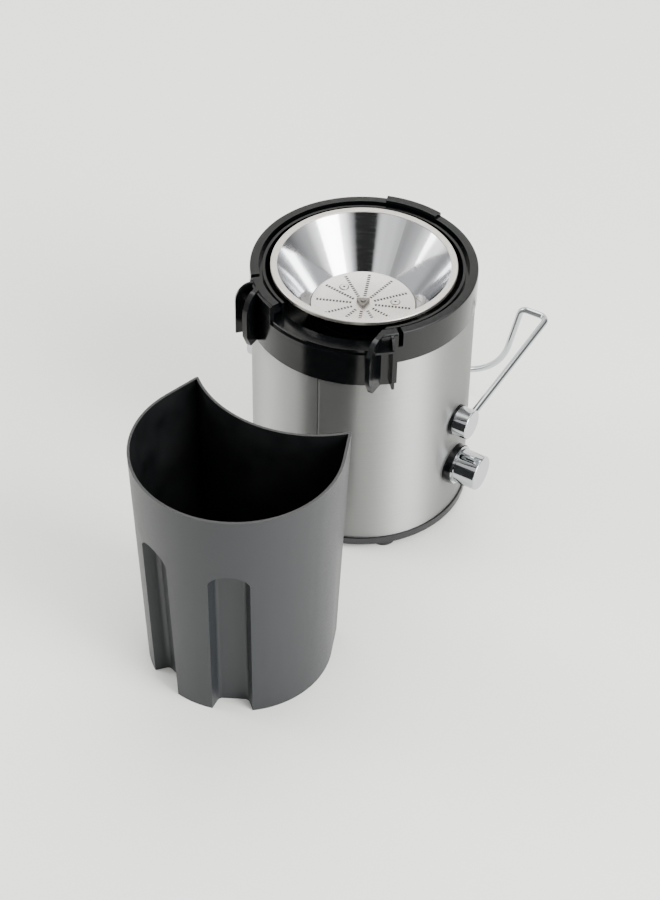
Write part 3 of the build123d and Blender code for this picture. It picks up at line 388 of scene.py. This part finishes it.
# laminations: dark varnished sheet in level layers, drawn twice as thick as the real 0.5 mm
laminations, tree, shader = surface("varnished_laminations", "#5a5c60", metallic=1.0, roughness=0.45)
stack = object_noise(tree, 1.0, stretch=(0.02, 0.02, 1.0))
tree.links.new(tint(tree, stack, "#494b4f", "#6c6e72"), shader.inputs["Base Color"])
roughen(tree, shader, stack.outputs[0], 0.6, 0.1)
coat(laminations, "stator_core", "armature_core")

# copper wire under clear enamel: reddish, ridged by its turns
copper, tree, shader = surface("enamelled_copper", "#b5683f", metallic=1.0, roughness=0.35)
turns = object_noise(tree, 0.8, stretch=(1.0, 0.1, 1.0))
tree.links.new(tint(tree, turns, "#8f4c2b", "#c67a4e"), shader.inputs["Base Color"])
roughen(tree, shader, turns.outputs[0], 0.7, 0.15)
coat(copper, "field_coils", "armature_windings", "commutator", "brush_holders")

# circuit board: green solder mask, through which the glass weave shows faintly
board, tree, shader = surface("solder_masked_board", "#1d5a34", roughness=0.35)
weave = object_noise(tree, 1.2)
tree.links.new(tint(tree, weave, "#194f2d", "#22663c"), shader.inputs["Base Color"])
coat(board, "circuit_board")


# ---- deck, collector, bezel and bushes ----
# ABS moulded against polished steel: deep black with a hard gloss, so that its colour is mostly
# the pale room. Slow ripples from cooling break its reflections a little.
gloss_abs, tree, shader = surface("polished_black_abs", "#060708", roughness=0.16, Specular_IOR_Level=0.3)
ripple = object_noise(tree, 14.0)
tree.links.new(vary(tree, ripple, 0.13, 0.22), shader.inputs["Roughness"])
roughen(tree, shader, ripple.outputs[0], 0.03, 0.1)
coat(gloss_abs, "motor_deck")


def softened(name, body, material, edge_mm, inner=None, inner_material=None):
    """A copy of a CAD node in its place with its sharp edges rounded. The faces for which inner
    holds take the inner material."""
    form = bmesh.new()
    form.from_mesh(nodes[name].data)
    bmesh.ops.remove_doubles(form, verts=form.verts, dist=0.001 * MM)
    flat_within = math.radians(0.02)
    bmesh.ops.dissolve_limit(form, angle_limit=flat_within, verts=form.verts, edges=form.edges)
    materials = [material]
    if inner:
        materials.append(inner_material)
        for face in form.faces:
            face.material_index = int(inner(face.calc_center_median(), face.normal))
    piece = placed(form, name + "_piece", *materials)
    piece.data.shade_smooth()
    piece.matrix_world = nodes[name].matrix_world
    rounding = piece.modifiers.new("rounded_edges", "BEVEL")
    rounding.width = edge_mm * MM
    rounding.segments = 2
    rounding.limit_method = "ANGLE"
    rounding.angle_limit = math.radians(35)
    evened = piece.modifiers.new("evened_normals", "WEIGHTED_NORMAL")
    evened.weight = 80
    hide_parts(name)
    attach(piece, body)


softened("juice_collector", "juice_collector", gloss_abs, 0.45)
softened("knob_bezel", "housing", gloss_abs, 0.4)
softened("pivot_bushes", "housing", gloss_abs, 0.4)


# ---- filter ----
# The cone is polished stainless sheet, the rim and grater disc are brushed stainless.
# The disc's teeth are pressed in twelve rows, and three rivets hold it to the moulded hub.
mirror_steel, tree, shader = surface("mirror_polished_stainless", "#cfd0d2", metallic=1.0, roughness=0.09)
haze = brushed_round(tree, radius=0.06, scratch=1.2, streak=30.0)
tree.links.new(vary(tree, haze, 0.06, 0.14), shader.inputs["Roughness"])
coat(mirror_steel, "filter_cone")

disc_steel, tree, shader = surface("brushed_disc_steel", "#c9c4be", metallic=1.0, roughness=0.38)
grain = object_noise(tree, 1.0, detail=4.0)
tree.links.new(tint(tree, grain, "#bcb7b1", "#d3cec8"), shader.inputs["Base Color"])
tree.links.new(vary(tree, grain, 0.32, 0.46), shader.inputs["Roughness"])
coat(disc_steel, "grater_disc")
softened("filter_rim", "filter", disc_steel, 0.35)
softened("disc_rivets", "filter", disc_steel, 0.15)

# the spindle's steel: darker and duller than the disc's sheet, and mottled
spindle_steel, tree, shader = surface("dark_dull_spindle_steel", "#77736f", metallic=1.0, roughness=0.42)
spindle_mottle = object_noise(tree, 0.8, detail=4.0)
tree.links.new(tint(tree, spindle_mottle, "#66625f", "#86827e"), shader.inputs["Base Color"])
softened("filter_spindle", "filter", spindle_steel, 0.5)

# the teeth: each slot is a gap painted near black, as shade with some juice stain, and a curled lip of
# steel raised behind it
gap_shade_and_juice, tree, shader = surface("painted_gap_shade_and_juice", "#0b0a09", roughness=0.5)
gap_mottle = object_noise(tree, 1.5)
tree.links.new(tint(tree, gap_mottle, "#080706", "#14110f"), shader.inputs["Base Color"])
disc = nodes["grater_disc"]
disc_top = max((disc.matrix_world @ Vector(corner)).z for corner in disc.bound_box)
disc_r = disc.dimensions.x / 2
row_count = 12
row_az = 22.0
teeth_per_row = 11
row_start = 11.0 * MM
row_margin = 2.0 * MM
tooth_pitch = (disc_r - row_start - row_margin) / teeth_per_row
tooth_half = 1.35 * MM
gap_lift = 0.03 * MM
gap_reach = (-0.9 * MM, 0.85 * MM)
lip_mm = ((0.85, 0.04), (0.95, 0.12), (1.15, 0.12), (1.35, -0.05))
teeth = bmesh.new()


def across_row(azimuth, radius, height, sides):
    """Vertices in a line square to a row of teeth, at a radius and a height over the disc."""
    turn = Matrix.Rotation(math.radians(azimuth), 3, "Z")
    return [teeth.verts.new(turn @ Vector((radius, side, disc_top + height))) for side in sides]


def ring_of(centre, inner_r, outer_r, height):
    """A flat ring of painted shade on the disc."""
    steps = 24
    rims = [
        [
            teeth.verts.new(centre + from_polar(radius, 360 * step / steps, disc_top + height))
            for step in range(steps)
        ]
        for radius in (inner_r, outer_r)
    ]
    for rim in rims:
        rim.append(rim[0])
    for face in join_rows(teeth, rims):
        face.material_index = 1


for row in range(row_count):
    azimuth = row_az + 360 / row_count * row
    for number in range(teeth_per_row):
        middle = row_start + number * tooth_pitch
        gap = [
            across_row(azimuth, middle + along, gap_lift, (-tooth_half, tooth_half)) for along in gap_reach
        ]
        for face in join_rows(teeth, gap):
            face.material_index = 1
        lip = [
            across_row(azimuth, middle + along * MM, rise * MM, (-tooth_half, 0.0, tooth_half))
            for along, rise in lip_mm
        ]
        join_rows(teeth, lip)
# each rivet: painted shade as a dark eye in its head and a dark line round it
rivet_pitch_r = 27.6 * MM
for azimuth in (66.0, 186.0, 306.0):
    rivet = from_polar(rivet_pitch_r, azimuth, 0.0)
    ring_of(rivet, inner_r=0.05 * MM, outer_r=1.1 * MM, height=0.74 * MM)
    ring_of(rivet, inner_r=3.65 * MM, outer_r=4.3 * MM, height=gap_lift)
teeth_piece = placed(teeth, "grater_teeth", disc_steel, gap_shade_and_juice)
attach(teeth_piece, "filter")


# ---- bail, caps and knob ----
# Steel wire and die-cast caps under bright chrome plate: near mirror, faintly cool.
chrome, tree, shader = surface("bright_chrome_plate", "#b6b9bc", metallic=1.0, roughness=0.06)
film = object_noise(tree, 5.0)
tree.links.new(vary(tree, film, 0.04, 0.1), shader.inputs["Roughness"])
coat(chrome, "bail_wire")
softened("bail_cap_front", "bail", chrome, 0.9)
softened("bail_cap_rear", "bail", chrome, 0.9)
softened("speed_knob", "speed_knob", chrome, 0.7)


# ---- pulp bin ----
# Polypropylene in charcoal grey, satin outside from a fine mould texture. Inside it is left
# polished for emptying, and its inside and rim top are painted near black as shade.
bin_plastic, tree, shader = surface(
    "charcoal_polypropylene", "#212326", roughness=0.45, Specular_IOR_Level=0.35
)
grain = object_noise(tree, 1.0, detail=3.0)
tree.links.new(tint(tree, grain, "#1f2124", "#25272a"), shader.inputs["Base Color"])
tree.links.new(vary(tree, grain, 0.38, 0.5), shader.inputs["Roughness"])
roughen(tree, shader, grain.outputs[0], 0.3, 0.03)

# painted shade: a near-black copy of the bin plastic for its inside, floor and rim top
bin_inside_shade, tree, shader = surface("painted_shade_bin_inside", "#0d0e0f", roughness=0.35)
inside_mottle = object_noise(tree, 30.0, detail=4.0)
tree.links.new(tint(tree, inside_mottle, "#0a0b0c", "#131415"), shader.inputs["Base Color"])
tree.links.new(vary(tree, inside_mottle, 0.3, 0.45), shader.inputs["Roughness"])
bin_middle = Vector((-0.245, -0.020, 0.0))
nest_middle = Vector((-0.1004, -0.0134, 0.0))
nest_wall_out_r = 0.1025
faces_nest = 0.8
faces_in = -0.3
faces_up = 0.9


def inside_bin(centre, normal):
    """Whether a face looks into the bin or up: its inner walls, floor and rim, which take the painted
    shade.
    """
    outward = (centre - bin_middle).to_2d().normalized()
    from_nest = (centre - nest_middle).to_2d()
    facing = normal.to_2d()
    on_nest_wall = from_nest.length < nest_wall_out_r and facing.dot(from_nest.normalized()) > faces_nest
    return on_nest_wall or facing.dot(outward) < faces_in or normal.z > faces_up


softened("pulp_bin", "pulp_bin", bin_plastic, 0.9, inside_bin, bin_inside_shade)
